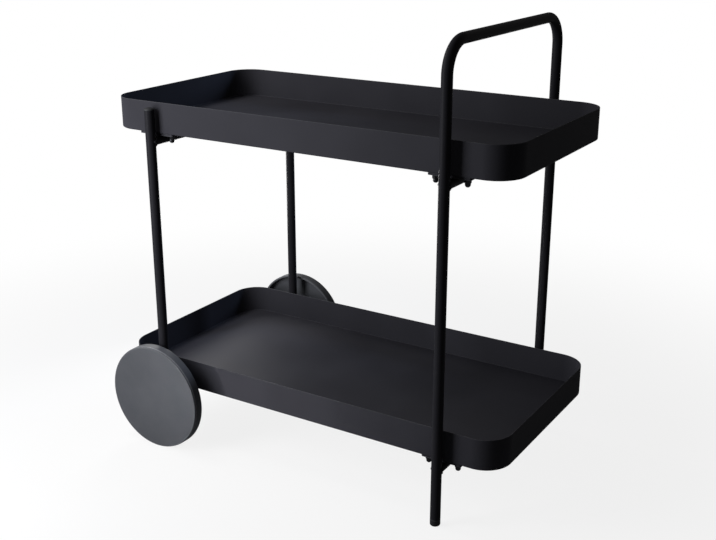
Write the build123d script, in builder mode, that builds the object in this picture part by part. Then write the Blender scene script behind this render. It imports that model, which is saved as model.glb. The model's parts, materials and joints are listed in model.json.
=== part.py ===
from build123d import *
import os
from math import sqrt

# Serving cart with two pressed trays on a tube frame, a bent handle and two fixed wheels.
# Millimetres. +X is the handle end, -Y the front, +Z up, and the floor is z = 0 under the middle.

# Trays
tray_length = 800.0
tray_depth = 400.0
tray_height = 56.0
tray_corner_radius = 50.0
tray_sheet = 1.2
tray_bend_radius = 1.0
rim_rounding = 0.5

# Heights, each measured from the piece below it
tray_above_axle = 15.5
tray_spacing = 487.0
handle_rise = 155.0

# Tube frame
tube_diameter = 18.0
tube_wall = 1.2
leg_setback = 106.0
leg_gap = 3.5
handle_bend_radius = 50.0
wheel_leg_below_rim = 12.0
wheel_leg_below_axle = 20.0
saddle_gap = 0.1

# Plastic feet, caps and plugs in the tube ends
foot_height = 12.0
foot_rounding = 3.0
foot_stem = 20.0
cap_edge = 1.5
cap_dome = 2.5
cap_stem = 15.0
plug_head = 3.0
plug_rounding = 1.0
plug_stem = 10.0
stem_clearance = 0.1
stem_lead = 1.5

# Plates that carry the trays, with weld studs, washers and cap nuts
plate_length = 75.0
plate_width = 20.0
plate_thickness = 4.0
plate_corner_radius = 3.0
stud_spacing = 55.0
stud_inset = 12.5
stud_diameter = 6.0
stud_hole_clearance = 0.3
stud_engagement = 7.5
thread_clearance = 0.05
tray_washer_diameter = 12.0
tray_washer_thickness = 1.6
nut_across_flats = 10.0
nut_hex_height = 5.0
nut_dome_diameter = 9.5
nut_height = 12.0
nut_tip_room = 1.0

# Wheels
wheel_diameter = 203.0
wheel_width = 20.0
wheel_gap = 8.0
wheel_rim_thickness = 4.0
wheel_web_thickness = 3.0
tread_rounding = 1.5
seam_chamfer = 0.6
hub_wall = 3.0
hub_projection = 2.0
rib_count = 3
rib_start_angle = 30.0
rib_thickness = 3.0
rib_recess = 2.0
rib_bite = 1.0
cover_thickness = 3.0
cover_inset = 0.5
cover_rounding = 1.5
peg_count = 3
peg_circle_radius = 60.0
peg_diameter = 6.0
peg_tail = 3.0
peg_clearance = 0.1

# Axles and what holds the wheels on them
axle_diameter = 10.0
axle_lead = 0.8
running_clearance = 0.05
seat_clearance = 0.05
axial_play = 0.3
bush_wall = 2.0
bush_flange_width = 3.0
bush_flange_thickness = 1.5
spacer_wall = 3.0
axle_washer_width = 4.5
axle_washer_thickness = 1.5
clip_thickness = 1.2
clip_width = 3.0
clip_mouth = 6.0
clip_groove_depth = 0.8
axle_tip = 1.5
clip_pocket_depth = 6.5
clip_pocket_room = 3.0

# Values that follow from the sizes above
tube_radius = tube_diameter / 2
tube_bore_radius = tube_radius - tube_wall
stem_radius = tube_bore_radius - stem_clearance
leg_x = tray_length / 2 - leg_setback
leg_y = tray_depth / 2 + leg_gap + tube_radius
stud_y = tray_depth / 2 - stud_inset

wheel_radius = wheel_diameter / 2
axle_height = wheel_radius
lower_tray_base = axle_height + tray_above_axle
upper_tray_base = lower_tray_base + tray_spacing
upper_rim = upper_tray_base + tray_height
handle_axis_height = upper_rim + handle_rise - tube_radius
wheel_leg_top = upper_rim - wheel_leg_below_rim
wheel_leg_bottom = axle_height - wheel_leg_below_axle

# Distances along a wheel's axis, from the wheel's inner side outwards
wheel_inner = leg_y + tube_radius + wheel_gap
body_width = wheel_width - cover_thickness
hollow_depth = body_width - wheel_web_thickness
hub_outer_face = body_width - clip_pocket_depth
leg_axis_offset = -(tube_radius + wheel_gap)
flange_face = -(hub_projection + bush_flange_thickness)
spacer_face = flange_face - axial_play
axle_washer_start = hub_outer_face + axial_play
clip_start = axle_washer_start + axle_washer_thickness
axle_end = clip_start + clip_thickness + axle_tip

axle_radius = axle_diameter / 2
bush_radius = axle_radius + running_clearance + bush_wall
axle_washer_radius = axle_radius + axle_washer_width
clip_pocket_radius = axle_washer_radius + clip_pocket_room
hub_radius = clip_pocket_radius + hub_wall
hollow_radius = wheel_radius - wheel_rim_thickness
clip_groove_radius = axle_radius - clip_groove_depth
clip_radius = clip_groove_radius + clip_width
axle_start = leg_axis_offset - sqrt(tube_radius**2 - axle_radius**2)
rib_length = hollow_radius - hub_radius + 2 * rib_bite

# Distances down from a tray's underside, and the domes of the cap nuts and leg caps
nut_seat_drop = plate_thickness + tray_washer_thickness
stud_length = nut_seat_drop + stud_engagement
bar_drop = plate_thickness + tube_radius
nut_dome_radius = nut_dome_diameter / 2
nut_dome_centre = nut_dome_radius - nut_height
cap_sphere_radius = (tube_radius**2 + cap_dome**2) / (2 * cap_dome)

SIDES = {"front": -1, "rear": 1}
ENDS = {"handle": 1, "wheel": -1}
LEVELS = {"upper": upper_tray_base, "lower": lower_tray_base}


def plate_stud_points(end, side):
    """Centres of the two studs that pass through one plate."""
    centre = end * leg_x
    return [(centre + step * stud_spacing / 2, side * stud_y) for step in (-1, 1)]


all_stud_points = []
for end in ENDS.values():
    for side in SIDES.values():
        all_stud_points += plate_stud_points(end, side)

os.makedirs("parts", exist_ok=True)

# Trays: one sheet of steel each, pressed to a pan with rounded corners and a small bend at the floor
for level_name, base in LEVELS.items():
    with BuildPart() as tray:
        with BuildSketch(Plane.XY.offset(base)):
            RectangleRounded(tray_length, tray_depth, tray_corner_radius)
        extrude(amount=tray_height)
        underside = tray.faces().sort_by(Axis.Z)[0]
        fillet(underside.edges(), tray_bend_radius + tray_sheet)
        with BuildSketch(Plane.XY.offset(base + tray_sheet)):
            RectangleRounded(
                tray_length - 2 * tray_sheet,
                tray_depth - 2 * tray_sheet,
                tray_corner_radius - tray_sheet,
            )
        extrude(amount=tray_height, mode=Mode.SUBTRACT)
        floor_face = tray.faces().filter_by(Plane.XY).sort_by(Axis.Z)[1]
        fillet(floor_face.edges(), tray_bend_radius)
        rim_face = tray.faces().sort_by(Axis.Z)[-1]
        fillet(rim_face.edges(), rim_rounding)
    tray.part.label = f"{level_name}_tray"
    export_step(tray.part, f"parts/{level_name}_tray.step")

    # Weld studs on the tray's underside, so that its floor shows no fasteners
    with BuildPart() as studs:
        with BuildSketch(Plane.XY.offset(base - stud_length)):
            with Locations(*all_stud_points):
                Circle(stud_diameter / 2)
        extrude(amount=stud_length)
    studs.part.label = f"{level_name}_tray_studs"
    export_step(studs.part, f"parts/{level_name}_tray_studs.step")

# Plates welded on the crossbars beside each leg, under both trays
for level_name, base in LEVELS.items():
    for end_name, end in ENDS.items():
        for side_name, side in SIDES.items():
            with BuildPart() as plate:
                with BuildSketch(Plane.XY.offset(base - plate_thickness)):
                    with Locations((end * leg_x, side * stud_y)):
                        RectangleRounded(plate_length, plate_width, plate_corner_radius)
                    with Locations(*plate_stud_points(end, side)):
                        Circle(stud_diameter / 2 + stud_hole_clearance, mode=Mode.SUBTRACT)
                extrude(amount=plate_thickness)
            plate_name = f"{level_name}_{end_name}_{side_name}_plate"
            plate.part.label = plate_name
            export_step(plate.part, f"parts/{plate_name}.step")

# Crossbars from leg to leg, their ends cut to sit on the round legs
for level_name, base in LEVELS.items():
    bar_height = base - bar_drop
    for end_name, end in ENDS.items():
        bar_plane = Plane(origin=(end * leg_x, 0, bar_height), x_dir=(1, 0, 0), z_dir=(0, 1, 0))
        with BuildPart() as crossbar:
            with BuildSketch(bar_plane):
                Circle(tube_radius)
                Circle(tube_bore_radius, mode=Mode.SUBTRACT)
            extrude(amount=leg_y, both=True)
            with BuildSketch(Plane.XY.offset(bar_height - tube_diameter)):
                with Locations((end * leg_x, -leg_y), (end * leg_x, leg_y)):
                    Circle(tube_radius + saddle_gap)
            extrude(amount=2 * tube_diameter, mode=Mode.SUBTRACT)
        bar_name = f"{level_name}_{end_name}_crossbar"
        crossbar.part.label = bar_name
        export_step(crossbar.part, f"parts/{bar_name}.step")

# Handle: one tube bent to an upside-down U, which is also both legs of that end
with BuildPart() as handle_tube:
    with BuildLine() as handle_line:
        FilletPolyline(
            (leg_x, -leg_y, foot_height),
            (leg_x, -leg_y, handle_axis_height),
            (leg_x, leg_y, handle_axis_height),
            (leg_x, leg_y, foot_height),
            radius=handle_bend_radius,
        )
    with BuildSketch(Plane.XY.offset(foot_height)):
        with Locations((leg_x, -leg_y)):
            Circle(tube_radius)
            Circle(tube_bore_radius, mode=Mode.SUBTRACT)
    sweep(path=handle_line.line)
handle_tube.part.label = "handle_tube"
export_step(handle_tube.part, "parts/handle_tube.step")

# Washers and cap nuts under the plates, all alike
with BuildPart() as tray_washers:
    for base in LEVELS.values():
        with BuildSketch(Plane.XY.offset(base - nut_seat_drop)):
            with Locations(*all_stud_points):
                Circle(tray_washer_diameter / 2)
                Circle(stud_diameter / 2 + stud_hole_clearance, mode=Mode.SUBTRACT)
        extrude(amount=tray_washer_thickness)
tray_washers.part.label = "tray_washers"
export_step(tray_washers.part, "parts/tray_washers.step")

with BuildPart() as cap_nut:
    with BuildSketch(Plane.XY):
        RegularPolygon(nut_across_flats / 2, 6, major_radius=False)
    extrude(amount=-nut_hex_height)
    with BuildSketch(Plane.XZ):
        with BuildLine():
            Polyline(
                (0, -nut_height),
                (0, 0),
                (nut_dome_radius, 0),
                (nut_dome_radius, nut_dome_centre),
            )
            CenterArc((0, nut_dome_centre), nut_dome_radius, -90, 90)
        make_face()
    revolve(axis=Axis.Z)
    with BuildSketch(Plane.XY):
        Circle(stud_diameter / 2 + thread_clearance)
    extrude(amount=-(stud_engagement + nut_tip_room), mode=Mode.SUBTRACT)

with BuildPart() as tray_cap_nuts:
    for base in LEVELS.values():
        with Locations(*[(x, y, base - nut_seat_drop) for x, y in all_stud_points]):
            add(cap_nut.part)
tray_cap_nuts.part.label = "tray_cap_nuts"
export_step(tray_cap_nuts.part, "parts/tray_cap_nuts.step")

for side_name, side in SIDES.items():
    # Foot: a plug in the handle tube's lower end, as wide as the tube, with a rounded edge
    with BuildPart() as foot:
        with BuildSketch(Plane.XY):
            with Locations((leg_x, side * leg_y)):
                Circle(tube_radius)
        extrude(amount=foot_height)
        fillet(foot.edges().sort_by(Axis.Z)[0], foot_rounding)
        with BuildSketch(Plane.XY.offset(foot_height)):
            with Locations((leg_x, side * leg_y)):
                Circle(stem_radius)
        extrude(amount=foot_stem)
        chamfer(foot.edges().sort_by(Axis.Z)[-1], stem_lead)
    foot.part.label = f"{side_name}_foot"
    export_step(foot.part, f"parts/{side_name}_foot.step")

    # Straight leg over the wheel, drilled across for the axle
    axle_cross_plane = Plane(
        origin=(-leg_x, side * leg_y, axle_height),
        x_dir=(-side, 0, 0),
        z_dir=(0, side, 0),
    )
    with BuildPart() as wheel_leg:
        with BuildSketch(Plane.XY.offset(wheel_leg_bottom)):
            with Locations((-leg_x, side * leg_y)):
                Circle(tube_radius)
                Circle(tube_bore_radius, mode=Mode.SUBTRACT)
        extrude(amount=wheel_leg_top - wheel_leg_bottom)
        with BuildSketch(axle_cross_plane):
            Circle(axle_radius + seat_clearance)
        extrude(amount=tube_radius, both=True, mode=Mode.SUBTRACT)
    wheel_leg.part.label = f"{side_name}_wheel_leg"
    export_step(wheel_leg.part, f"parts/{side_name}_wheel_leg.step")

    # Domed cap on the leg's upper end
    cap_plane = Plane(origin=(-leg_x, side * leg_y, wheel_leg_top), x_dir=(1, 0, 0), z_dir=(0, -1, 0))
    with BuildPart() as leg_cap:
        with BuildSketch(cap_plane):
            with BuildLine():
                Polyline(
                    (0, cap_edge + cap_dome),
                    (0, -cap_stem),
                    (stem_radius - stem_lead, -cap_stem),
                    (stem_radius, stem_lead - cap_stem),
                    (stem_radius, 0),
                    (tube_radius, 0),
                    (tube_radius, cap_edge),
                )
                RadiusArc((0, cap_edge + cap_dome), (tube_radius, cap_edge), cap_sphere_radius)
            make_face()
        revolve(axis=Axis(cap_plane.origin, (0, 0, 1)))
    leg_cap.part.label = f"{side_name}_leg_cap"
    export_step(leg_cap.part, f"parts/{side_name}_leg_cap.step")

    # Flat plug in the leg's lower end, below the axle
    with BuildPart() as leg_plug:
        with BuildSketch(Plane.XY.offset(wheel_leg_bottom - plug_head)):
            with Locations((-leg_x, side * leg_y)):
                Circle(tube_radius)
        extrude(amount=plug_head)
        fillet(leg_plug.edges().sort_by(Axis.Z)[0], plug_rounding)
        with BuildSketch(Plane.XY.offset(wheel_leg_bottom)):
            with Locations((-leg_x, side * leg_y)):
                Circle(stem_radius)
        extrude(amount=plug_stem)
        chamfer(leg_plug.edges().sort_by(Axis.Z)[-1], stem_lead)
    leg_plug.part.label = f"{side_name}_leg_plug"
    export_step(leg_plug.part, f"parts/{side_name}_leg_plug.step")

for side_name, side in SIDES.items():
    # The plane of a wheel's inner side: its normal points outwards, away from the cart
    wheel_plane = Plane(
        origin=(-leg_x, side * wheel_inner, axle_height),
        x_dir=(-side, 0, 0),
        z_dir=(0, side, 0),
    )
    outwards = Axis(wheel_plane.origin, wheel_plane.z_dir)

    # Wheel: a moulded disc, hollow towards the leg, with a hub, ribs and a pocket for the clip
    with BuildPart() as wheel:
        with BuildSketch(wheel_plane):
            Circle(wheel_radius)
        extrude(amount=body_width)
        fillet(wheel.edges().sort_by(outwards)[0], tread_rounding)
        chamfer(wheel.edges().sort_by(outwards)[-1], seam_chamfer)
        with BuildSketch(wheel_plane):
            Circle(hollow_radius)
            Circle(hub_radius, mode=Mode.SUBTRACT)
        extrude(amount=hollow_depth, mode=Mode.SUBTRACT)
        with BuildSketch(wheel_plane.offset(rib_recess)):
            rib_middle = (hollow_radius + hub_radius) / 2
            with PolarLocations(rib_middle, rib_count, start_angle=rib_start_angle):
                Rectangle(rib_length, rib_thickness)
        extrude(amount=hollow_depth - rib_recess)
        with BuildSketch(wheel_plane):
            Circle(hub_radius)
        extrude(amount=-hub_projection)
        with BuildSketch(wheel_plane.offset(body_width)):
            Circle(bush_radius + seat_clearance)
        extrude(amount=-(body_width + hub_projection), mode=Mode.SUBTRACT)
        with BuildSketch(wheel_plane.offset(body_width)):
            Circle(clip_pocket_radius)
        extrude(amount=-clip_pocket_depth, mode=Mode.SUBTRACT)
        with BuildSketch(wheel_plane.offset(body_width)):
            with PolarLocations(peg_circle_radius, peg_count):
                Circle(peg_diameter / 2 + peg_clearance)
        extrude(amount=-wheel_web_thickness, mode=Mode.SUBTRACT)
    wheel.part.label = f"{side_name}_wheel"
    export_step(wheel.part, f"parts/{side_name}_wheel.step")

    # Cover: the plain disc that shows, pressed on with pegs over the axle's end
    with BuildPart() as cover:
        with BuildSketch(wheel_plane.offset(body_width)):
            Circle(wheel_radius - cover_inset)
        extrude(amount=cover_thickness)
        chamfer(cover.edges().sort_by(outwards)[0], seam_chamfer)
        fillet(cover.edges().sort_by(outwards)[-1], cover_rounding)
        with BuildSketch(wheel_plane.offset(body_width)):
            with PolarLocations(peg_circle_radius, peg_count):
                Circle(peg_diameter / 2)
        extrude(amount=-(wheel_web_thickness + peg_tail))
    cover.part.label = f"{side_name}_wheel_cover"
    export_step(cover.part, f"parts/{side_name}_wheel_cover.step")

    # Flanged bush in the hub, which turns on the axle
    with BuildPart() as bush:
        with BuildSketch(wheel_plane.offset(hub_outer_face)):
            Circle(bush_radius)
        extrude(amount=-(hub_outer_face + hub_projection))
        with BuildSketch(wheel_plane.offset(-hub_projection)):
            Circle(bush_radius + bush_flange_width)
        extrude(amount=-bush_flange_thickness)
        with BuildSketch(wheel_plane.offset(hub_outer_face)):
            Circle(axle_radius + running_clearance)
        extrude(amount=flange_face - hub_outer_face, mode=Mode.SUBTRACT)
    bush.part.label = f"{side_name}_wheel_bush"
    export_step(bush.part, f"parts/{side_name}_wheel_bush.step")

    # Axle: a steel stub welded across the leg, grooved near its outer end
    with BuildPart() as axle:
        with BuildSketch(wheel_plane.offset(axle_start)):
            Circle(axle_radius)
        extrude(amount=axle_end - axle_start)
        chamfer(axle.edges().sort_by(outwards)[-1], axle_lead)
        with BuildSketch(wheel_plane.offset(clip_start)):
            Circle(axle_diameter)
            Circle(clip_groove_radius, mode=Mode.SUBTRACT)
        extrude(amount=clip_thickness, mode=Mode.SUBTRACT)
    axle.part.label = f"{side_name}_axle"
    export_step(axle.part, f"parts/{side_name}_axle.step")

    # Spacer welded to the leg, which keeps the wheel off the tube
    with BuildPart() as spacer:
        with BuildSketch(wheel_plane.offset(spacer_face)):
            Circle(axle_radius + spacer_wall)
            Circle(axle_radius + seat_clearance, mode=Mode.SUBTRACT)
        extrude(amount=leg_axis_offset - spacer_face)
        with BuildSketch(Plane.XY.offset(axle_height - tube_diameter)):
            with Locations((-leg_x, side * leg_y)):
                Circle(tube_radius + saddle_gap)
        extrude(amount=2 * tube_diameter, mode=Mode.SUBTRACT)
    spacer.part.label = f"{side_name}_axle_spacer"
    export_step(spacer.part, f"parts/{side_name}_axle_spacer.step")

    # Washer and open ring that keep the wheel on the axle
    with BuildPart() as axle_washer:
        with BuildSketch(wheel_plane.offset(axle_washer_start)):
            Circle(axle_washer_radius)
            Circle(axle_radius + seat_clearance, mode=Mode.SUBTRACT)
        extrude(amount=axle_washer_thickness)
    axle_washer.part.label = f"{side_name}_axle_washer"
    export_step(axle_washer.part, f"parts/{side_name}_axle_washer.step")

    with BuildPart() as axle_clip:
        with BuildSketch(wheel_plane.offset(clip_start)):
            Circle(clip_radius)
            Circle(clip_groove_radius + seat_clearance, mode=Mode.SUBTRACT)
            with Locations((0, -clip_radius)):
                Rectangle(clip_mouth, 2 * clip_radius, mode=Mode.SUBTRACT)
        extrude(amount=clip_thickness)
    axle_clip.part.label = f"{side_name}_axle_clip"
    export_step(axle_clip.part, f"parts/{side_name}_axle_clip.step")

print("handle top", handle_axis_height + tube_radius, "width over wheels", 2 * (wheel_inner + wheel_width))
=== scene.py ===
# %% [markdown]
# # A serving cart, dressed for its picture
# The cart is two pressed steel trays on a frame of round tube. One tube is bent into the push handle
# and both legs of that end, and two plain disc wheels stand outside the legs of the other end.
# The construction arrives as a fixed frame of named nodes, in metres, with +X towards the handle, -Y to
# the front and +Z up. This lesson models the pieces that show, gives every surface a finish and sets the
# light and the camera. Pieces go exactly where the frame says, so nothing is ever fitted by eye.

# %% Load the frame
import json
from math import atan2, pi, radians, sin, sqrt

import bmesh
import bpy
from mathutils import Matrix, Vector


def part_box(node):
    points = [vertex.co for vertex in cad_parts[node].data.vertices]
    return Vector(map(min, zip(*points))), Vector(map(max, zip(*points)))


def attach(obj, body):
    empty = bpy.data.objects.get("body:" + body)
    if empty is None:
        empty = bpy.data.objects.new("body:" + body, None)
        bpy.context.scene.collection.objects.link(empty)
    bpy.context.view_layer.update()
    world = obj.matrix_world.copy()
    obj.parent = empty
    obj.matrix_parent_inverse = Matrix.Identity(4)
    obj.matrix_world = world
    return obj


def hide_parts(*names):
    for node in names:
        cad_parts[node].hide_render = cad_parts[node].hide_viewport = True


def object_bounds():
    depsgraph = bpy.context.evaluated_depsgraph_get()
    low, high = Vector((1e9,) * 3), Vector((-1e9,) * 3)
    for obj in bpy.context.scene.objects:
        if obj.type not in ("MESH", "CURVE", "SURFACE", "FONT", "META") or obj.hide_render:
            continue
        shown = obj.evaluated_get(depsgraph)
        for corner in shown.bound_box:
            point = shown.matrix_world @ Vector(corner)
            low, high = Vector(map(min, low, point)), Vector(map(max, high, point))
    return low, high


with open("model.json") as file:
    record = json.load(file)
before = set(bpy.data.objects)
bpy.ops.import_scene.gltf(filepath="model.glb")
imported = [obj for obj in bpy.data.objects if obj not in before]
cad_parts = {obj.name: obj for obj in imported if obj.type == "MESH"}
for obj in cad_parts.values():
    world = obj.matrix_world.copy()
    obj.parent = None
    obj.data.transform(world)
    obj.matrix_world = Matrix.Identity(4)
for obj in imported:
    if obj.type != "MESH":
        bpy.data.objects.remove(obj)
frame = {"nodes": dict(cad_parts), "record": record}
cad_low, cad_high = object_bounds()
print("the frame is", [round(side, 3) for side in cad_high - cad_low], "metres")

# %% [markdown]
# ## Camera
# The picture looks down on the cart from its front right corner. A lens can be guessed and nudged, but a
# rectangle of known size gives it away: the long and short edges of both trays only meet their places in
# the picture for one lens at one spot. The camera therefore stands there and aims at a point a little
# below the middle of the cart, with no shift and no tilt.

# %% Camera
CAMERA_PLACE = Vector((1.0194, -1.6276, 1.0077))
CAMERA_AIM = Vector((0.0728, -0.1032, 0.3830))
CAMERA_LENS = 54.320
SENSOR_WIDTH = 36.0

bpy.ops.object.camera_add(location=CAMERA_PLACE)
camera = bpy.context.object
camera.name = "picture_camera"
camera.data.lens = CAMERA_LENS
camera.data.sensor_width = SENSOR_WIDTH
camera.data.sensor_fit = "HORIZONTAL"
camera.rotation_mode = "QUATERNION"
camera.rotation_quaternion = (CAMERA_AIM - CAMERA_PLACE).to_track_quat("-Z", "Y")
bpy.context.scene.camera = camera
print("camera", round((CAMERA_AIM - CAMERA_PLACE).length, 2), "metres from its aim")

# %% [markdown]
# ## Light
# The cart is lit from one side. Its front and its left are soft grey, the end with the handle is almost
# black, and each leg throws a soft dark band to its right. A tall softbox close by, at the front left,
# does most of that: because it is near, the far end of each wall gets less of it, and because it stands
# upright, it favours the walls over the floors. A small lamp over the left end lights the upper floor
# there, and another reaches in between the trays to the lower floor. A weak one behind keeps the back
# readable. Two more have a grid that narrows their beam. One stands behind and reaches over the rear
# walls to the inside of the left end, which is a deep blue grey in the picture and would be black. The
# other lies low in front, and lights the lower front wall past the wheel.

# %% Lamps
KEY_PLACE = Vector((-0.60, -0.95, 0.66))
KEY_SIZE = (0.50, 1.10)
KEY_WATTS = 10.5
TOP_PLACE = Vector((-0.70, -0.30, 1.30))
TOP_SIZE = (0.35, 0.35)
TOP_WATTS = 3.8
SIDE_PLACE = Vector((-0.62, 0.25, 0.38))
SIDE_SIZE = (0.25, 0.25)
SIDE_WATTS = 1.95
BACK_PLACE = Vector((-0.60, 1.90, 0.25))
BACK_SIZE = (1.0, 1.0)
BACK_WATTS = 4.0
GRID_PLACE = Vector((0.30, 1.40, 1.15))
GRID_SIZE = (0.18, 0.80)
GRID_WATTS = 1.1
GRID_AIM = Vector((-0.55, 0.00, 0.40))
GRID_SPREAD = radians(50)
LOW_PLACE = Vector((-0.75, -1.10, 0.10))
LOW_SIZE = (0.20, 0.12)
LOW_WATTS = 0.105
LOW_AIM = Vector((-0.06, -0.20, 0.15))
LOW_SPREAD = radians(22)
LAMP_AIM = Vector((-0.10, -0.05, 0.38))
COOL_LIGHT = (0.96, 0.97, 1.0)
PLAIN_LIGHT = (1.0, 0.99, 0.98)
SKY_LIGHT = (0.56, 0.71, 1.0)


def add_softbox(name, place, size, watts, colour, aim=LAMP_AIM, spread=pi):
    """A soft lamp of some width and height that faces the cart and isn't seen itself."""
    bpy.ops.object.light_add(type="AREA", location=place)
    lamp = bpy.context.object
    lamp.name = name
    lamp.visible_camera = False
    lamp.data.shape = "RECTANGLE"
    lamp.data.size, lamp.data.size_y = size
    lamp.data.energy = watts
    lamp.data.color = colour
    lamp.data.spread = spread
    lamp.rotation_mode = "QUATERNION"
    lamp.rotation_quaternion = (aim - place).to_track_quat("-Z", "Y")
    print(name, watts, "watts,", round((aim - place).length, 2), "metres away")


add_softbox("key_softbox", KEY_PLACE, KEY_SIZE, KEY_WATTS, COOL_LIGHT)
add_softbox("top_softbox", TOP_PLACE, TOP_SIZE, TOP_WATTS, PLAIN_LIGHT)
add_softbox("side_softbox", SIDE_PLACE, SIDE_SIZE, SIDE_WATTS, PLAIN_LIGHT)
add_softbox("back_softbox", BACK_PLACE, BACK_SIZE, BACK_WATTS, PLAIN_LIGHT)
add_softbox("grid_softbox", GRID_PLACE, GRID_SIZE, GRID_WATTS, SKY_LIGHT, GRID_AIM, GRID_SPREAD)
add_softbox("low_softbox", LOW_PLACE, LOW_SIZE, LOW_WATTS, PLAIN_LIGHT, LOW_AIM, LOW_SPREAD)

bpy.context.scene.view_settings.view_transform = "Standard"

# %% [markdown]
# ## Node helpers
# Every finish below is a small net of nodes round one Principled shader. A few helpers keep them short:
# they start a material, add a node with its values, and make noise, relief, tones and a mask of the
# edges. All patterns read Object coordinates, which are metres here, so a scale of 1000 makes grain
# about a millimetre across. The mask compares the plain normal with one that a Bevel node has rounded:
# where the two part, an edge is near.


# %% Node helpers
# The edge mask pales every edge: partly wear, partly a painted highlight along the rims.
WEAR_AND_HIGHLIGHT_SAMPLES = 8
WEAR_AND_HIGHLIGHT_START = 0.995
WEAR_AND_HIGHLIGHT_FULL = 0.92
TONE_START = 0.35
TONE_END = 0.65
NOISE_LOW = 0.3
NOISE_HIGH = 0.7


def start_finish(name):
    """A new material, with its node tree and its shader."""
    material = bpy.data.materials.new(name)
    material.use_nodes = True
    tree = material.node_tree
    return material, tree, tree.nodes["Principled BSDF"]


def add_node(tree, kind, **values):
    """A node of that kind, with its inputs set by name."""
    node = tree.nodes.new(kind)
    for name, value in values.items():
        node.inputs[name.replace("_", " ")].default_value = value
    return node


def add_wear_and_highlight(tree, tone, worn_and_highlight, reach):
    """Blends a paler colour over a tone along the edges: partly wear, partly a painted highlight."""
    edge = add_node(tree, "ShaderNodeBevel", Radius=reach)
    edge.samples = WEAR_AND_HIGHLIGHT_SAMPLES
    plain = add_node(tree, "ShaderNodeNewGeometry")
    turn = add_node(tree, "ShaderNodeVectorMath")
    turn.operation = "DOT_PRODUCT"
    tree.links.new(edge.outputs["Normal"], turn.inputs[0])
    tree.links.new(plain.outputs["Normal"], turn.inputs[1])
    mask = add_node(
        tree,
        "ShaderNodeMapRange",
        From_Min=WEAR_AND_HIGHLIGHT_START,
        From_Max=WEAR_AND_HIGHLIGHT_FULL,
        To_Min=0.0,
        To_Max=1.0,
    )
    tree.links.new(turn.outputs["Value"], mask.inputs["Value"])
    blend = add_node(tree, "ShaderNodeMixRGB", Color2=(*worn_and_highlight, 1.0))
    tree.links.new(mask.outputs["Result"], blend.inputs["Fac"])
    tree.links.new(tone, blend.inputs["Color1"])
    return blend.outputs["Color"]


def add_noise(tree, scale, detail=2.0):
    """Noise in metres: its grain is about one divided by the scale."""
    place = add_node(tree, "ShaderNodeTexCoord")
    noise = add_node(tree, "ShaderNodeTexNoise", Scale=scale, Detail=detail)
    tree.links.new(place.outputs["Object"], noise.inputs["Vector"])
    return noise.outputs["Fac"]


def add_relief(tree, height, depth, below=None):
    """Bump of that depth in metres, laid over an earlier bump if there is one."""
    bump = add_node(tree, "ShaderNodeBump", Strength=1.0, Distance=depth)
    tree.links.new(height, bump.inputs["Height"])
    if below is not None:
        tree.links.new(below, bump.inputs["Normal"])
    return bump.outputs["Normal"]


def add_tones(tree, factor, dark, light):
    """A ramp between two colours."""
    ramp = add_node(tree, "ShaderNodeValToRGB")
    ramp.color_ramp.elements[0].position = TONE_START
    ramp.color_ramp.elements[0].color = (*dark, 1.0)
    ramp.color_ramp.elements[1].position = TONE_END
    ramp.color_ramp.elements[1].color = (*light, 1.0)
    tree.links.new(factor, ramp.inputs["Fac"])
    return ramp.outputs["Color"]


def add_range(tree, factor, low, high):
    """A value that runs from low to high as the noise does."""
    span = add_node(
        tree,
        "ShaderNodeMapRange",
        From_Min=NOISE_LOW,
        From_Max=NOISE_HIGH,
        To_Min=low,
        To_Max=high,
    )
    tree.links.new(factor, span.inputs["Value"])
    return span.outputs["Result"]


print("node helpers ready")

# %% [markdown]
# ## Powder coat
# The trays and tubes are powder coated: black powder is baked on, which leaves a satin skin with a fine
# orange peel and a grain that can be felt but hardly seen. Flat black would look like a hole in the
# picture. So the colour drifts a little over hand-sized patches, the gloss drifts with it, two bumps
# give the peel and the grain, and edges and bends are paler: partly wear, where the coat lies thin and
# rubs, and partly a painted highlight along the rims.
# On the tubes the same coat is set to half its tone and made a touch smoother: the darkening is painted
# shade on their lit sides.


# %% Powder coat
COAT_DARK = (0.043, 0.0425, 0.0505)
COAT_LIGHT = (0.052, 0.0515, 0.061)
# Paler colour at edges and bends: wear, and a painted highlight along the rims.
COAT_WORN_AND_HIGHLIGHT = (0.125, 0.127, 0.135)
COAT_ROUGHNESS = (0.50, 0.60)
COAT_SPECULAR = 0.04
# The tubes' coat is the same coat at half its tone: painted shade on their lit sides.
TUBE_PAINTED_SHADE = 0.50
TUBE_ROUGHNESS = (0.40, 0.48)
TUBE_SPECULAR = 0.05
EDGE_REACH = 0.0014
PATCH_SCALE = 7.0
PEEL_SCALE = 260.0
PEEL_DEPTH = 0.00006
GRAIN_SCALE = 1900.0
GRAIN_DETAIL = 3.0
GRAIN_DEPTH = 0.00003


def make_powder_coat(name, shade, roughness, specular):
    """Satin black coat on steel, at full tone or darkened by a factor, which is painted shade."""
    material, tree, shader = start_finish(name)
    dark = [shade * part for part in COAT_DARK]
    light = [shade * part for part in COAT_LIGHT]
    patches = add_noise(tree, PATCH_SCALE)
    tone = add_tones(tree, patches, dark, light)
    tree.links.new(add_wear_and_highlight(tree, tone, COAT_WORN_AND_HIGHLIGHT, EDGE_REACH), shader.inputs["Base Color"])
    tree.links.new(add_range(tree, patches, *roughness), shader.inputs["Roughness"])
    peel = add_relief(tree, add_noise(tree, PEEL_SCALE), PEEL_DEPTH)
    grain = add_relief(tree, add_noise(tree, GRAIN_SCALE, GRAIN_DETAIL), GRAIN_DEPTH, peel)
    tree.links.new(grain, shader.inputs["Normal"])
    shader.inputs["Specular IOR Level"].default_value = specular
    return material


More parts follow.
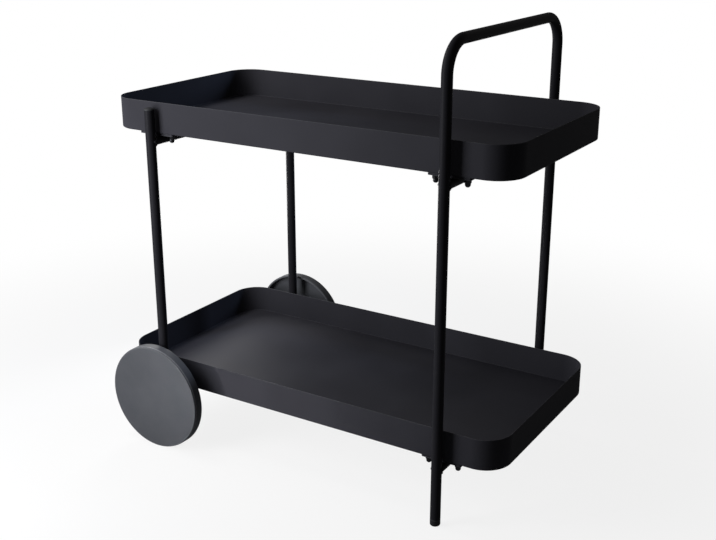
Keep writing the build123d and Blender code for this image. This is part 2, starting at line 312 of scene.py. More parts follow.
powder_coat = make_powder_coat("satin_powder_coat", 1.0, COAT_ROUGHNESS, COAT_SPECULAR)
painted_shade_tube_coat = make_powder_coat("satin_tube_coat_painted_shade", TUBE_PAINTED_SHADE, TUBE_ROUGHNESS, TUBE_SPECULAR)
print("made", powder_coat.name, painted_shade_tube_coat.name)

# %% [markdown]
# ## Plastics
# The wheels are a charcoal moulding, clearly paler than the frame, with the fine sparked grain of a
# steel mould. The feet, caps and plugs are a blacker plastic, and the bushes are bare nylon. All come
# from one recipe with other colours: slow drift of tone, a fine grain, a roughness that follows the
# grain, and paler edges, which are mostly a painted highlight along the rims, with a little rub wear.


# %% Plastics
# The third colour of each set is the paler edge: mostly a painted highlight, with a little wear.
WHEEL_TONES = ((0.094, 0.098, 0.108), (0.106, 0.110, 0.121), (0.400, 0.410, 0.430))
CAP_TONES = ((0.024, 0.025, 0.028), (0.032, 0.033, 0.037), (0.055, 0.056, 0.060))
NYLON_TONES = ((0.62, 0.59, 0.52), (0.72, 0.69, 0.62), (0.78, 0.76, 0.70))
PLASTIC_EDGE_REACH = 0.0025
DRIFT_SCALE = 22.0
DRIFT_DETAIL = 4.0
SPARK_SCALE = 2200.0
SPARK_DEPTH = 0.00003


def make_plastic(name, tones, roughness, specular):
    """Moulded plastic with a sparked grain."""
    material, tree, shader = start_finish(name)
    dark, light, worn_and_highlight = tones
    tone = add_tones(tree, add_noise(tree, DRIFT_SCALE, DRIFT_DETAIL), dark, light)
    tree.links.new(add_wear_and_highlight(tree, tone, worn_and_highlight, PLASTIC_EDGE_REACH), shader.inputs["Base Color"])
    sparks = add_noise(tree, SPARK_SCALE)
    tree.links.new(add_range(tree, sparks, *roughness), shader.inputs["Roughness"])
    tree.links.new(add_relief(tree, sparks, SPARK_DEPTH), shader.inputs["Normal"])
    shader.inputs["Specular IOR Level"].default_value = specular
    return material


wheel_plastic = make_plastic(
    "charcoal_wheel_plastic", WHEEL_TONES, roughness=(0.48, 0.60), specular=0.15
)
cap_plastic = make_plastic("black_cap_plastic", CAP_TONES, roughness=(0.42, 0.54), specular=0.15)
bush_nylon = make_plastic("natural_nylon", NYLON_TONES, roughness=(0.40, 0.50), specular=0.40)
print("made", wheel_plastic.name, cap_plastic.name, bush_nylon.name)

# %% [markdown]
# ## Steel
# The cap nuts and washers are black zinc, and the axles, their washers and clips are bright zinc. Both
# are metal, so their colour sits in the reflection. Turned parts carry fine rings, but at this size a
# cloudy roughness and a little grain read the same and follow any shape.


# %% Steel
BLACK_ZINC_DARK = (0.035, 0.036, 0.040)
BLACK_ZINC_LIGHT = (0.060, 0.062, 0.067)
BRIGHT_ZINC_DARK = (0.42, 0.43, 0.44)
BRIGHT_ZINC_LIGHT = (0.58, 0.59, 0.60)
ZINC_ROUGHNESS = (0.30, 0.45)
CLOUD_SCALE = 150.0
CLOUD_DETAIL = 3.0
ZINC_GRAIN_SCALE = 2600.0
ZINC_GRAIN_DEPTH = 0.00001


def make_zinc(name, dark, light):
    """Plated steel with a cloudy gloss."""
    material, tree, shader = start_finish(name)
    clouds = add_noise(tree, CLOUD_SCALE, CLOUD_DETAIL)
    tree.links.new(add_tones(tree, clouds, dark, light), shader.inputs["Base Color"])
    tree.links.new(add_range(tree, clouds, *ZINC_ROUGHNESS), shader.inputs["Roughness"])
    relief = add_relief(tree, add_noise(tree, ZINC_GRAIN_SCALE), ZINC_GRAIN_DEPTH)
    tree.links.new(relief, shader.inputs["Normal"])
    shader.inputs["Metallic"].default_value = 1.0
    return material


black_zinc = make_zinc("black_zinc", BLACK_ZINC_DARK, BLACK_ZINC_LIGHT)
bright_zinc = make_zinc("bright_zinc", BRIGHT_ZINC_DARK, BRIGHT_ZINC_LIGHT)
print("made", black_zinc.name, bright_zinc.name)

# %% [markdown]
# ## Floor and world
# The picture has a white ground. A white floor would throw so much light back up that the black cart
# turns grey, so the floor has more than one face. To the camera it is white and keeps a soft shadow near
# the cart. A satin surface that mirrors it sees only a small share of that white, and scattered light
# meets a mid grey. Further out it glows at a strength of one, so that the far floor is as white as the
# near one. The world does the same: it is white to the camera, above the edge of the floor, dim to a
# mirroring surface, and gives the cart a faint plain fill.

# %% Floor and world
FLOOR_SIZE = 90.0
FLOOR_WHITE = (0.95, 0.95, 0.95, 1.0)
FLOOR_GREY = (0.22, 0.22, 0.23, 1.0)
MIRRORED_SHARE = 0.12
SHADOW_NEAR = 0.55
SHADOW_FAR = 1.6
SHADOW_GLOW = 0.85
WORLD_WHITE = (1.0, 1.0, 1.0, 1.0)
WORLD_COLOUR = (1.0, 0.97, 0.93, 1.0)
WORLD_STRENGTH = 0.04


def add_shown(tree):
    """How much of the white a ray sees: all for the camera, a share for a mirroring surface."""
    seen = add_node(tree, "ShaderNodeLightPath")
    mirrored = add_node(tree, "ShaderNodeMath")
    mirrored.operation = "MULTIPLY_ADD"
    mirrored.inputs[1].default_value = MIRRORED_SHARE
    tree.links.new(seen.outputs["Is Glossy Ray"], mirrored.inputs[0])
    tree.links.new(seen.outputs["Is Camera Ray"], mirrored.inputs[2])
    shown = add_node(tree, "ShaderNodeMath")
    shown.operation = "MAXIMUM"
    tree.links.new(mirrored.outputs["Value"], shown.inputs[0])
    tree.links.new(seen.outputs["Is Transmission Ray"], shown.inputs[1])
    return shown.outputs["Value"]


def make_world():
    """White to the camera, a faint fill to the cart."""
    world = bpy.data.worlds.new("studio")
    world.use_nodes = True
    tree = world.node_tree
    fill = tree.nodes["Background"]
    fill.inputs["Color"].default_value = WORLD_COLOUR
    fill.inputs["Strength"].default_value = WORLD_STRENGTH
    white = add_node(tree, "ShaderNodeBackground", Color=WORLD_WHITE, Strength=1.0)
    choice = add_node(tree, "ShaderNodeMixShader")
    tree.links.new(add_shown(tree), choice.inputs[0])
    tree.links.new(fill.outputs["Background"], choice.inputs[1])
    tree.links.new(white.outputs["Background"], choice.inputs[2])
    tree.links.new(choice.outputs["Shader"], tree.nodes["World Output"].inputs["Surface"])
    return world


def make_floor_finish():
    """White to the camera with a soft shadow by the cart, grey to scattered light."""
    material = bpy.data.materials.new("pale_floor")
    material.use_nodes = True
    material.cycles.emission_sampling = "NONE"
    tree = material.node_tree
    tree.nodes.clear()
    place = add_node(tree, "ShaderNodeTexCoord")
    distance = add_node(tree, "ShaderNodeVectorMath")
    distance.operation = "LENGTH"
    tree.links.new(place.outputs["Object"], distance.inputs[0])
    fade = add_node(
        tree,
        "ShaderNodeMapRange",
        From_Min=SHADOW_NEAR,
        From_Max=SHADOW_FAR,
        To_Min=SHADOW_GLOW,
        To_Max=1.0,
    )
    fade.interpolation_type = "SMOOTHSTEP"
    tree.links.new(distance.outputs["Value"], fade.inputs["Value"])
    white = add_node(tree, "ShaderNodeBsdfDiffuse", Color=FLOOR_WHITE)
    glow = add_node(tree, "ShaderNodeEmission", Color=(1.0, 1.0, 1.0, 1.0), Strength=1.0)
    grey = add_node(tree, "ShaderNodeBsdfDiffuse", Color=FLOOR_GREY)
    near = add_node(tree, "ShaderNodeMixShader")
    tree.links.new(fade.outputs["Result"], near.inputs[0])
    tree.links.new(white.outputs["BSDF"], near.inputs[1])
    tree.links.new(glow.outputs["Emission"], near.inputs[2])
    choice = add_node(tree, "ShaderNodeMixShader")
    tree.links.new(add_shown(tree), choice.inputs[0])
    tree.links.new(grey.outputs["BSDF"], choice.inputs[1])
    tree.links.new(near.outputs["Shader"], choice.inputs[2])
    end = add_node(tree, "ShaderNodeOutputMaterial")
    tree.links.new(choice.outputs["Shader"], end.inputs["Surface"])
    return material


bpy.ops.mesh.primitive_plane_add(size=FLOOR_SIZE, location=(0.0, 0.0, cad_low.z))
floor = bpy.context.object
floor.name = "floor"
floor.data.materials.append(make_floor_finish())
bpy.context.scene.world = make_world()
print("floor at height", round(cad_low.z, 4))

# %% [markdown]
# ## Modelling helpers
# The pieces are modelled as by hand: add a primitive, go into edit mode, select by place or direction,
# and extrude, bevel or spin. Operators act on whatever is selected, so each piece starts by deselecting
# everything. A finished piece has its place in its mesh and rides on a body of the frame.


# %% Modelling helpers
SMOOTH_ANGLE = radians(35)
MERGE_DISTANCE = 0.000002
SIDES = ("front", "rear")
TRAYS = ("upper_tray", "lower_tray")
UP = Vector((0.0, 0.0, 1.0))


def begin():
    """Leaves edit mode and deselects everything."""
    if bpy.context.mode != "OBJECT":
        bpy.ops.object.mode_set(mode="OBJECT")
    bpy.ops.object.select_all(action="DESELECT")


def edit(name):
    """Names the new primitive, puts its place into its mesh and opens it for editing."""
    piece = bpy.context.object
    piece.name = name
    piece.data.name = name
    bpy.ops.object.transform_apply(location=True, rotation=True, scale=True)
    bpy.ops.object.mode_set(mode="EDIT")
    return piece


def pick(kind, test):
    """Selects the vertices, edges or faces of the edited mesh that pass a test."""
    bpy.ops.mesh.select_mode(type=kind)
    bpy.ops.mesh.select_all(action="DESELECT")
    mesh = bmesh.from_edit_mesh(bpy.context.object.data)
    parts = {"VERT": mesh.verts, "EDGE": mesh.edges, "FACE": mesh.faces}[kind]
    chosen = [part for part in parts if test(part)]
    for part in chosen:
        part.select_set(True)
    mesh.select_flush_mode()
    bmesh.update_edit_mesh(bpy.context.object.data)
    return len(chosen)


def close_up():
    """Merges doubled points and turns every face outwards."""
    bpy.ops.mesh.select_all(action="SELECT")
    bpy.ops.mesh.remove_doubles(threshold=MERGE_DISTANCE)
    bpy.ops.mesh.normals_make_consistent(inside=False)


def thicken(piece, thickness):
    """Gives a sheet its thickness, inwards from the faces as modelled."""
    bpy.ops.object.mode_set(mode="OBJECT")
    wall = piece.modifiers.new("wall", "SOLIDIFY")
    wall.thickness = thickness
    wall.offset = -1.0
    wall.use_even_offset = True
    bpy.ops.object.modifier_apply(modifier=wall.name)


def combine(piece, tool, operation):
    """Unites, cuts or intersects a piece with a tool, which is used up."""
    begin()
    piece.select_set(True)
    bpy.context.view_layer.objects.active = piece
    step = piece.modifiers.new("combine", "BOOLEAN")
    step.operation = operation
    step.solver = "EXACT"
    step.object = tool
    bpy.ops.object.modifier_apply(modifier=step.name)
    bpy.data.objects.remove(tool)


def smooth(piece):
    """Smooth shading, with flat faces kept flat beside their rounded edges."""
    begin()
    piece.select_set(True)
    bpy.context.view_layer.objects.active = piece
    bpy.ops.object.shade_smooth_by_angle(angle=SMOOTH_ANGLE)
    weighted = piece.modifiers.new("weighted", "WEIGHTED_NORMAL")
    weighted.keep_sharp = True
    bpy.ops.object.modifier_apply(modifier=weighted.name)


def dress(piece, body, slot, finish, *nodes):
    """Smooths a piece, gives it its finish and lets it ride on its body in place of its nodes."""
    smooth(piece)
    piece.data.materials.clear()
    piece.data.materials.append(finish)
    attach(piece, body)
    if nodes:
        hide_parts(*nodes)
    print(piece.name, len(piece.data.polygons), "faces, for", ", ".join(nodes) or "trim")


print("modelling helpers ready")

# %% [markdown]
# ## Trays
# Each tray is one sheet of steel, pressed to a pan: a flat floor, a tight bend, and a wall that turns
# generous round corners. The wall is too thin to be modelled twice, so a box gets its corners bevelled,
# loses its lid, gets the bend along its lower edge, and is then thickened inwards. The cut edge of the
# sheet is rounded last, which is what catches the light along the rim.

# %% Trays
SHEET = 0.0012
TRAY_CORNER = 0.050
TRAY_BEND = 0.001
RIM_ROUNDING = 0.0005
FLOOR_MARGIN = 0.004
TRAY_CORNER_STEPS = 32
TRAY_BEND_STEPS = 8
RIM_STEPS = 3
FACES_UP = 0.9
FACES_DOWN = -0.999


def model_tray(name):
    """A pressed pan in the place of a tray node."""
    low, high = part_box(name)
    begin()
    bpy.ops.mesh.primitive_cube_add(size=1.0, location=(low + high) / 2, scale=high - low)
    tray = edit(f"{name}_pan")
    half_height = (high.z - low.z) / 2
    pick("EDGE", lambda edge: abs(edge.verts[0].co.z - edge.verts[1].co.z) > half_height)
    bpy.ops.mesh.bevel(offset=TRAY_CORNER, segments=TRAY_CORNER_STEPS, affect="EDGES")
    pick("FACE", lambda face: face.normal.z > FACES_UP)
    bpy.ops.mesh.delete(type="ONLY_FACE")
    pick("EDGE", lambda edge: all(v.co.z < low.z + SHEET for v in edge.verts))
    bpy.ops.mesh.bevel(offset=TRAY_BEND + SHEET, segments=TRAY_BEND_STEPS, affect="EDGES")
    pick("FACE", lambda face: face.normal.z < FACES_DOWN)
    bpy.ops.mesh.inset(thickness=FLOOR_MARGIN)
    thicken(tray, SHEET)
    bpy.ops.object.mode_set(mode="EDIT")
    rim_z = high.z - SHEET / 2
    pick("FACE", lambda face: face.normal.z > FACES_UP and face.calc_center_median().z > rim_z)
    bpy.ops.mesh.region_to_loop()
    bpy.ops.mesh.bevel(offset=RIM_ROUNDING, segments=RIM_STEPS, affect="EDGES")
    dress(tray, "cart", "powder_coat", powder_coat, name)


for tray_name in TRAYS:
    model_tray(tray_name)

# %% [markdown]
# ## Handle
# The handle and both legs of its end are one tube, bent twice on a former. The model is made the way the
# bender works: a ring at the front foot is drawn straight up, spun round the first bend, drawn across,
# spun round the second, and drawn down to the other foot. The wall is then thickened inwards.

# %% Handle
TUBE_WALL = 0.0012
HANDLE_BEND = 0.050
TUBE_SIDES = 64
BEND_STEPS = 32

handle_low, handle_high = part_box("handle_tube")
tube_radius = (handle_high.x - handle_low.x) / 2
handle_x = (handle_low.x + handle_high.x) / 2
front_y = handle_low.y + tube_radius
rear_y = handle_high.y - tube_radius
bar_z = handle_high.z - tube_radius


def draw_tube(way):
    """Draws the open end of a tube along a straight way."""
    bpy.ops.mesh.extrude_region_move(TRANSFORM_OT_translate={"value": way})


def bend_tube(centre):
    """Spins the open end of the tube a quarter turn, from rising to falling."""
    bpy.ops.mesh.spin(steps=BEND_STEPS, angle=pi / 2, center=centre, axis=(1.0, 0.0, 0.0))


def model_handle():
    """The bent tube from the front foot to the rear foot."""
    begin()
    bpy.ops.mesh.primitive_circle_add(
        vertices=TUBE_SIDES, radius=tube_radius, location=(handle_x, front_y, handle_low.z)
    )
    tube = edit("handle_bent_tube")
    bpy.ops.mesh.select_all(action="SELECT")
    rise = bar_z - HANDLE_BEND - handle_low.z
    draw_tube((0.0, 0.0, rise))
    bend_tube((handle_x, front_y + HANDLE_BEND, bar_z - HANDLE_BEND))
    draw_tube((0.0, rear_y - front_y - 2 * HANDLE_BEND, 0.0))
    bend_tube((handle_x, rear_y - HANDLE_BEND, bar_z - HANDLE_BEND))
    draw_tube((0.0, 0.0, -rise))
    close_up()
    thicken(tube, TUBE_WALL)
    dress(tube, "cart", "powder_coat", painted_shade_tube_coat, "handle_tube")
    return tube


handle = model_handle()
print("handle reaches", [round(side, 4) for side in handle.dimensions])

# %% [markdown]
# ## Turned pieces
# Feet, caps, plugs, washers and wheels are all round, so one tool makes them: a lathe. It traces half of
# the section point by point with extruded vertices, rounds the corners that the real piece has rounded,
# and spins the line once round its axis. A section that starts and ends on the axis is a solid piece,
# and one that doesn't is closed into a ring first.


# %% Lathe
CORNER_STEPS = 5
SEED_SIZE = 0.001


def lathe(name, section, centre, axis, steps, ring=False):
    """Spins a half section of (radius, height, rounding) points round an axis."""
    centre, axis = Vector(centre), Vector(axis)
    across = axis.orthogonal().normalized()
    points = [centre + across * radius + axis * height for radius, height, _ in section]
    begin()
    bpy.ops.mesh.primitive_plane_add(size=SEED_SIZE, location=points[0])
    piece = edit(name)
    bpy.ops.mesh.select_mode(type="VERT")
    bpy.ops.mesh.select_all(action="SELECT")
    bpy.ops.mesh.merge(type="CENTER")
    for here, there in zip(points, points[1:]):
        draw_tube(there - here)
    if ring:
        ends = (points[0], points[-1])
        pick("VERT", lambda v: min((v.co - end).length for end in ends) < MERGE_DISTANCE)
        bpy.ops.mesh.edge_face_add()
    for point, (_, _, rounding) in zip(points, section):
        if rounding:
            pick("VERT", lambda v: (v.co - point).length < MERGE_DISTANCE)
            bpy.ops.mesh.bevel(offset=rounding, segments=CORNER_STEPS, affect="VERTICES")
    bpy.ops.mesh.select_all(action="SELECT")
    bpy.ops.mesh.spin(steps=steps, angle=2 * pi, center=centre, axis=axis)
    close_up()
    begin()
    return piece


print("lathe ready")

# %% [markdown]
# ## Feet, caps and plugs
# A black plastic plug closes each end of the tubes. The handle's feet stand on a rounded edge, the caps
# over the wheels have a low dome, and the plugs under the axles are flat. Each has a stem inside the
# tube. A tiny rounding where plug meets tube makes the joint line that shows in the picture.

# %% Feet, caps and plugs
STEM_RADIUS = 0.0077
FOOT_ROUNDING = 0.003
JOINT_ROUNDING = 0.0004
PLUG_ROUNDING = 0.001
CAP_EDGE = 0.0015
CAP_DOME = 0.0025
DOME_STEPS = 10
PLUG_SIDES = 64


def node_axis(name):
    """The middle of a node seen from above, and its lowest and highest point."""
    low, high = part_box(name)
    return (low.x + high.x) / 2, (low.y + high.y) / 2, low.z, high.z


def model_foot(side):
    """A foot plug: the stem goes up into the handle tube."""
    x, y, bottom, top = node_axis(f"{side}_foot")
    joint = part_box("handle_tube")[0].z - bottom
    section = [
        (0.0, 0.0, 0.0),
        (tube_radius, 0.0, FOOT_ROUNDING),
        (tube_radius, joint, JOINT_ROUNDING),
        (STEM_RADIUS, joint, 0.0),
        (STEM_RADIUS, top - bottom, 0.0),
        (0.0, top - bottom, 0.0),
    ]
    foot = lathe(f"{side}_foot_plug", section, (x, y, bottom), UP, PLUG_SIDES)
    dress(foot, "cart", "cap_plastic", cap_plastic, f"{side}_foot")


def model_cap(side):
    """A domed cap: the stem goes down into the wheel leg."""
    x, y, bottom, top = node_axis(f"{side}_leg_cap")
    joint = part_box(f"{side}_wheel_leg")[1].z - bottom
    edge = joint + CAP_EDGE
    sphere = (tube_radius**2 + CAP_DOME**2) / (2 * CAP_DOME)
    section = [
        (0.0, 0.0, 0.0),
        (STEM_RADIUS, 0.0, PLUG_ROUNDING),
        (STEM_RADIUS, joint, 0.0),
        (tube_radius, joint, JOINT_ROUNDING),
    ]
    for step in range(DOME_STEPS + 1):
        radius = tube_radius * (1 - step / DOME_STEPS)
        rise = sqrt(sphere**2 - radius**2) - (sphere - CAP_DOME)
        section.append((radius, edge + rise, 0.0))
    cap = lathe(f"{side}_leg_dome_cap", section, (x, y, bottom), UP, PLUG_SIDES)
    dress(cap, "cart", "cap_plastic", cap_plastic, f"{side}_leg_cap")


def model_plug(side):
    """A flat plug: the stem goes up into the wheel leg."""
    x, y, bottom, top = node_axis(f"{side}_leg_plug")
    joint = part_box(f"{side}_wheel_leg")[0].z - bottom
    section = [
        (0.0, 0.0, 0.0),
        (tube_radius, 0.0, PLUG_ROUNDING),
        (tube_radius, joint, JOINT_ROUNDING),
        (STEM_RADIUS, joint, 0.0),
        (STEM_RADIUS, top - bottom, 0.0),
        (0.0, top - bottom, 0.0),
    ]
    plug = lathe(f"{side}_leg_end_plug", section, (x, y, bottom), UP, PLUG_SIDES)
    dress(plug, "cart", "cap_plastic", cap_plastic, f"{side}_leg_plug")


for side_name in SIDES:
    model_foot(side_name)
    model_cap(side_name)
    model_plug(side_name)

# %% [markdown]
# ## Wheels
# Each wheel is two mouldings. The body is a shallow drum, open towards the leg, with a hub, three ribs
# and three holes. The cover is the plain disc that shows from outside: pegs on its back hold it in the
# holes and it hides the end of the axle. Both are turned on the lathe. One rib and one peg are made,
# spun round the axle as copies, and united with the turned piece.

# %% Wheel sizes
WHEEL_WIDTH = 0.020
COVER_THICKNESS = 0.003
COVER_INSET = 0.0005
COVER_ROUNDING = 0.0015
SEAM_ROUNDING = 0.0006
WHEEL_RIM = 0.004
WHEEL_WEB = 0.003
TREAD_ROUNDING = 0.0015
LIP_ROUNDING = 0.0009
WEB_ROUNDING = 0.0020
HUB_RADIUS = 0.0155
HUB_PROJECTION = 0.002
BUSH_SEAT = 0.0071
CLIP_POCKET_RADIUS = 0.0125
CLIP_POCKET_DEPTH = 0.0065
RIB_COUNT = 3
RIB_THICKNESS = 0.003
RIB_RECESS = 0.002
RIB_BITE = 0.001
RIB_ROUNDING = 0.0005
RIB_EDGE_STEPS = 3
PEG_COUNT = 3
PEG_RADIUS = 0.003
PEG_CLEARANCE = 0.0001
PEG_CIRCLE = 0.060
PEG_TAIL = 0.003
PEG_BITE = 0.001
PEG_CHAMFER = 0.000375
PEG_EDGE_STEPS = 2
PEG_SIDES = 32
WHEEL_STEPS = 160


def wheel_place(side):
    """Middle of a wheel's inner side, the way out from the cart, and the wheel's radius."""
    low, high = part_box(f"{side}_wheel")
    cover_low, cover_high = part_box(f"{side}_wheel_cover")
    outwards = Vector((0.0, -1.0, 0.0)) if low.y < 0 else Vector((0.0, 1.0, 0.0))
    outer_y = cover_low.y if low.y < 0 else cover_high.y
    middle = Vector(((low.x + high.x) / 2, outer_y, (low.z + high.z) / 2))
    return middle - outwards * WHEEL_WIDTH, outwards, (high.z - low.z) / 2


def spin_copies(centre, axis, count):
    """Copies the edited mesh round an axis, to that many in all."""
    bpy.ops.mesh.select_all(action="SELECT")
    turn = 2 * pi * (count - 1) / count
    bpy.ops.mesh.spin(steps=count - 1, angle=turn, center=centre, axis=axis, dupli=True)
    bpy.ops.mesh.select_all(action="SELECT")
    bpy.ops.mesh.normals_make_consistent(inside=False)
    begin()


# %% Wheel bodies
def model_ribs(inner, outwards, radius):
    """Three ribs between hub and rim, the first one at the bottom."""
    depth = WHEEL_WIDTH - COVER_THICKNESS - WHEEL_WEB - RIB_RECESS + RIB_BITE
    near = HUB_RADIUS - RIB_BITE
    far = radius - WHEEL_RIM + RIB_BITE
    middle = inner + outwards * (RIB_RECESS + depth / 2) - Vector((0.0, 0.0, (near + far) / 2))
    begin()
    bpy.ops.mesh.primitive_cube_add(
        size=1.0, location=middle, scale=(RIB_THICKNESS, depth, far - near)
    )
    ribs = edit("wheel_ribs")
    open_side = (inner + outwards * RIB_RECESS).y
    pick("EDGE", lambda edge: all(abs(v.co.y - open_side) < MERGE_DISTANCE for v in edge.verts))
    bpy.ops.mesh.bevel(offset=RIB_ROUNDING, segments=RIB_EDGE_STEPS, affect="EDGES")
    spin_copies(inner, outwards, RIB_COUNT)
    return ribs


def model_pegs(name, inner, outwards, radius, start, length):
    """Three round pegs on a circle, used on the cover and to drill the body."""
    middle = inner + outwards * (start + length / 2) + Vector((PEG_CIRCLE, 0.0, 0.0))
    begin()
    bpy.ops.mesh.primitive_cylinder_add(
        vertices=PEG_SIDES,
        radius=radius,
        depth=length,
        location=middle,
        rotation=(pi / 2, 0.0, 0.0),
    )
    pegs = edit(name)
    pick("FACE", lambda face: len(face.verts) == PEG_SIDES)
    bpy.ops.mesh.region_to_loop()
    bpy.ops.mesh.bevel(offset=PEG_CHAMFER, segments=PEG_EDGE_STEPS, affect="EDGES")
    spin_copies(inner, outwards, PEG_COUNT)
    return pegs


def model_wheel(side):
    """The drum of a wheel, with its ribs and peg holes."""
    inner, outwards, radius = wheel_place(side)
    body_width = WHEEL_WIDTH - COVER_THICKNESS
    web = body_width - WHEEL_WEB
    pocket = body_width - CLIP_POCKET_DEPTH
    hollow = radius - WHEEL_RIM
    section = [
        (BUSH_SEAT, -HUB_PROJECTION, 0.0),
        (HUB_RADIUS, -HUB_PROJECTION, LIP_ROUNDING),
        (HUB_RADIUS, web, WEB_ROUNDING),
        (hollow, web, WEB_ROUNDING),
        (hollow, 0.0, LIP_ROUNDING),
        (radius, 0.0, TREAD_ROUNDING),
        (radius, body_width, SEAM_ROUNDING),
        (CLIP_POCKET_RADIUS, body_width, 0.0),
        (CLIP_POCKET_RADIUS, pocket, 0.0),
        (BUSH_SEAT, pocket, 0.0),
    ]
    wheel = lathe(f"{side}_wheel_drum", section, inner, outwards, WHEEL_STEPS, ring=True)
    combine(wheel, model_ribs(inner, outwards, radius), "UNION")
    drill = PEG_RADIUS + PEG_CLEARANCE
    reach = body_width - web + 2 * PEG_TAIL
    holes = model_pegs("peg_holes", inner, outwards, drill, web - PEG_TAIL, reach)
    combine(wheel, holes, "DIFFERENCE")
    dress(wheel, f"{side}_wheel_set", "wheel_plastic", wheel_plastic, f"{side}_wheel")


for side_name in SIDES:
    model_wheel(side_name)


# %% Wheel covers
def model_cover(side):
    """The plain outer disc of a wheel, with its pegs."""
    inner, outwards, radius = wheel_place(side)
    back = WHEEL_WIDTH - COVER_THICKNESS
    edge = radius - COVER_INSET
    section = [
        (0.0, back, 0.0),
        (edge, back, SEAM_ROUNDING),
        (edge, WHEEL_WIDTH, COVER_ROUNDING),
        (0.0, WHEEL_WIDTH, 0.0),
    ]
    cover = lathe(f"{side}_wheel_disc", section, inner, outwards, WHEEL_STEPS)
    start = back - WHEEL_WEB - PEG_TAIL
    pegs = model_pegs("cover_pegs", inner, outwards, PEG_RADIUS, start, back - start + PEG_BITE)
    combine(cover, pegs, "UNION")
    dress(cover, f"{side}_wheel_set", "wheel_plastic", wheel_plastic, f"{side}_wheel_cover")


for side_name in SIDES:
    model_cover(side_name)

# %% [markdown]
# ## Shade for the rear wheel
# The lamp behind, with the grid, also strikes the tread of the rear wheel, which is dark in the picture.
# A photographer would hold up a black card. Blender can link a lamp to the pieces that it may light, so
# this lamp simply leaves the rear wheel out.

# %% Shade for the rear wheel
begin()
for piece_name in ("rear_wheel_drum", "rear_wheel_disc"):
    bpy.data.objects[piece_name].select_set(True)
bpy.context.view_layer.objects.active = bpy.data.objects["grid_softbox"]
bpy.ops.object.light_linking_receivers_link(link_state="EXCLUDE")
print("grid_softbox leaves out", len(bpy.context.selected_objects), "pieces")

# %% [markdown]
# ## Cap nuts and washers
# The trays are held from below by studs with washers and cap nuts, two at each plate. A cap nut is a
# hexagon whose corners are turned off, with a smooth dome over the thread. One nut is made from a
# six-sided prism, cut by a turned blank and united with a turned dome. It is then copied to each stud.

# %% Cap nuts and washers
STUD_SPACING = 0.055
STUD_INSET = 0.0125
PLATE_THICKNESS = 0.004
WASHER_RADIUS = 0.006
WASHER_BORE = 0.0033
WASHER_THICKNESS = 0.0016
WASHER_ROUNDING = 0.0003
NUT_FLATS = 0.010
NUT_HEX = 0.005
NUT_HEIGHT = 0.012
NUT_DOME = 0.00475
NUT_CHAMFER = 0.0006
DOME_SHARE = 0.98
NUT_STEPS = 48
WASHER_STEPS = 40

tray_edges = {name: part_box(name) for name in TRAYS}
stud_points = [
    Vector((end * handle_x + step * STUD_SPACING / 2, side * (low.y + STUD_INSET), low.z))
    for low, _ in tray_edges.values()
    for end in (-1, 1)
    for side in (-1, 1)
    for step in (-1, 1)
]


def copy_to_studs(pattern, name):
    """Copies a piece made at the origin to every stud and joins the copies."""
    begin()
    for place in stud_points:
        copy = pattern.copy()
        copy.data = pattern.data.copy()
        copy.data.transform(Matrix.Translation(place))
        bpy.context.collection.objects.link(copy)
        copy.select_set(True)
        bpy.context.view_layer.objects.active = copy
    bpy.ops.object.join()
    joined = bpy.context.object
    bpy.data.objects.remove(pattern)
    joined.name = name
    joined.data.name = name
    return joined


def model_washer():
    """One washer under a plate, whose tray has its underside at height zero."""
    section = [
        (WASHER_BORE, 0.0, 0.0),
        (WASHER_RADIUS, 0.0, WASHER_ROUNDING),
        (WASHER_RADIUS, -WASHER_THICKNESS, WASHER_ROUNDING),
        (WASHER_BORE, -WASHER_THICKNESS, 0.0),
    ]
    return lathe("washer", section, -PLATE_THICKNESS * UP, UP, WASHER_STEPS, ring=True)


def model_cap_nut():
    """One cap nut under its washer."""
    seat = Vector((0.0, 0.0, -PLATE_THICKNESS - WASHER_THICKNESS))
    corner = NUT_FLATS / sqrt(3)
    begin()
    bpy.ops.mesh.primitive_cylinder_add(
        vertices=6, radius=corner, depth=NUT_HEX, location=seat - Vector((0.0, 0.0, NUT_HEX / 2))
    )
    nut = edit("cap_nut")
    begin()
    blank = [
        (0.0, 0.0, 0.0),
        (corner - NUT_CHAMFER, 0.0, 0.0),
        (corner, -NUT_CHAMFER / 2, 0.0),
        (corner, NUT_CHAMFER / 2 - NUT_HEX, 0.0),
        (corner - NUT_CHAMFER, -NUT_HEX, 0.0),
        (0.0, -NUT_HEX, 0.0),
    ]
    combine(nut, lathe("blank", blank, seat, UP, NUT_STEPS), "INTERSECT")
    dome = [
        (0.0, -NUT_CHAMFER, 0.0),
        (NUT_DOME, -NUT_CHAMFER, 0.0),
        (NUT_DOME, -NUT_HEIGHT, DOME_SHARE * NUT_DOME),
        (0.0, -NUT_HEIGHT, 0.0),
    ]
    combine(nut, lathe("dome", dome, seat, UP, NUT_STEPS), "UNION")
    return nut


washers = copy_to_studs(model_washer(), "tray_washer_set")
dress(washers, "cart", "black_fasteners", black_zinc, "tray_washers")
cap_nuts = copy_to_studs(model_cap_nut(), "tray_cap_nut_set")
dress(cap_nuts, "cart", "black_fasteners", black_zinc, "tray_cap_nuts")
print("fastened at", len(stud_points), "studs")

# %% [markdown]
# ## Welds
# Each crossbar is welded to its legs, and the coat runs over the bead, so the joint looks softly
# rounded. The bead follows the line where two round tubes of one size meet, which rises and falls like
# a saddle. A torus round the crossbar is the start. Its points are then moved along the bar by the
# depth of the saddle, and swell and shrink along the ring, as the ripples of a bead do.

# %% Welds
BEAD_RADIUS = 0.0022
BEAD_RIPPLE = 0.0001
RIPPLE_COUNT = 22
BEAD_STEPS = 176
BEAD_SIDES = 14


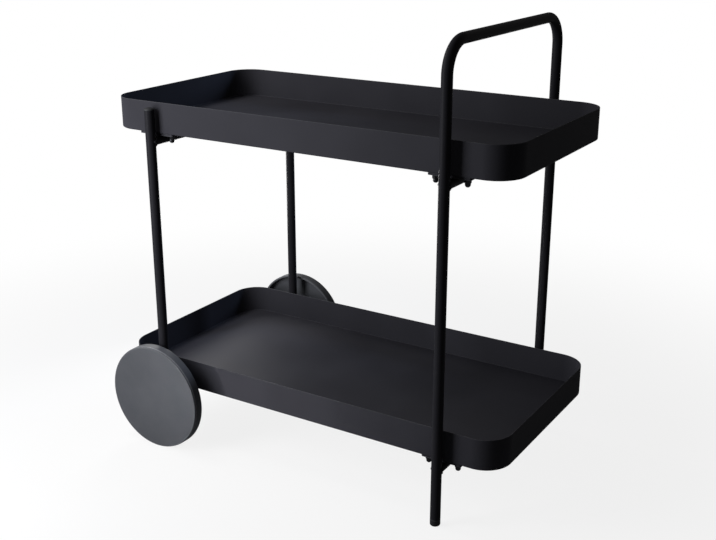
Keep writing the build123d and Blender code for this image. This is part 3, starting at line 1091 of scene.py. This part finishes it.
def model_weld(name, bar_name, side):
    """The bead round one end of a crossbar."""
    low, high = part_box(bar_name)
    bar_x, bar_z = (low.x + high.x) / 2, (low.z + high.z) / 2
    leg_y = side * rear_y
    begin()
    bpy.ops.mesh.primitive_torus_add(
        location=(bar_x, leg_y, bar_z),
        rotation=(pi / 2, 0.0, 0.0),
        major_radius=tube_radius,
        minor_radius=BEAD_RADIUS,
        major_segments=BEAD_STEPS,
        minor_segments=BEAD_SIDES,
    )
    bead = edit(name)
    mesh = bmesh.from_edit_mesh(bead.data)
    for point in mesh.verts:
        way = Vector((point.co.x - bar_x, 0.0, point.co.z - bar_z)).normalized()
        spine = Vector((bar_x, leg_y, bar_z)) + way * tube_radius
        swell = 1.0 + BEAD_RIPPLE / BEAD_RADIUS * sin(RIPPLE_COUNT * atan2(way.x, way.z))
        point.co = spine + (point.co - spine) * swell
        point.co.y -= side * tube_radius * abs(way.z)
    bmesh.update_edit_mesh(bead.data)
    bpy.ops.mesh.select_all(action="SELECT")
    bpy.ops.mesh.normals_make_consistent(inside=False)
    begin()
    dress(bead, "cart", "powder_coat", painted_shade_tube_coat)


for level in ("upper", "lower"):
    for end in ("handle", "wheel"):
        for side_name, side in (("front", -1), ("rear", 1)):
            model_weld(f"{level}_{end}_{side_name}_weld", f"{level}_{end}_crossbar", side)

# %% [markdown]
# ## Finishes for the frame's own nodes
# The straight legs, crossbars, plates and the parts of the axles have the right shape already, so they
# stay as they are and only change their finish. Legs and crossbars take the tubes' coat, darkened by
# painted shade.

# %% Finishes for the frame's own nodes
TUBE_ENDINGS = ("_leg", "_crossbar", "_tube")
SLOT_FINISH = {
    "powder_coat": powder_coat,
    "cap_plastic": cap_plastic,
    "black_fasteners": black_zinc,
    "bright_steel": bright_zinc,
    "wheel_plastic": wheel_plastic,
    "bush_nylon": bush_nylon,
}

for subpart in frame["record"]["subparts"]:
    node = frame["nodes"][subpart["node"]]
    is_tube = subpart["node"].endswith(TUBE_ENDINGS)
    node.data.materials.clear()
    node.data.materials.append(painted_shade_tube_coat if is_tube else SLOT_FINISH[subpart["material_slot"]])
shown = [name for name, node in frame["nodes"].items() if not node.hide_render]
print(len(shown), "nodes keep their own shape")
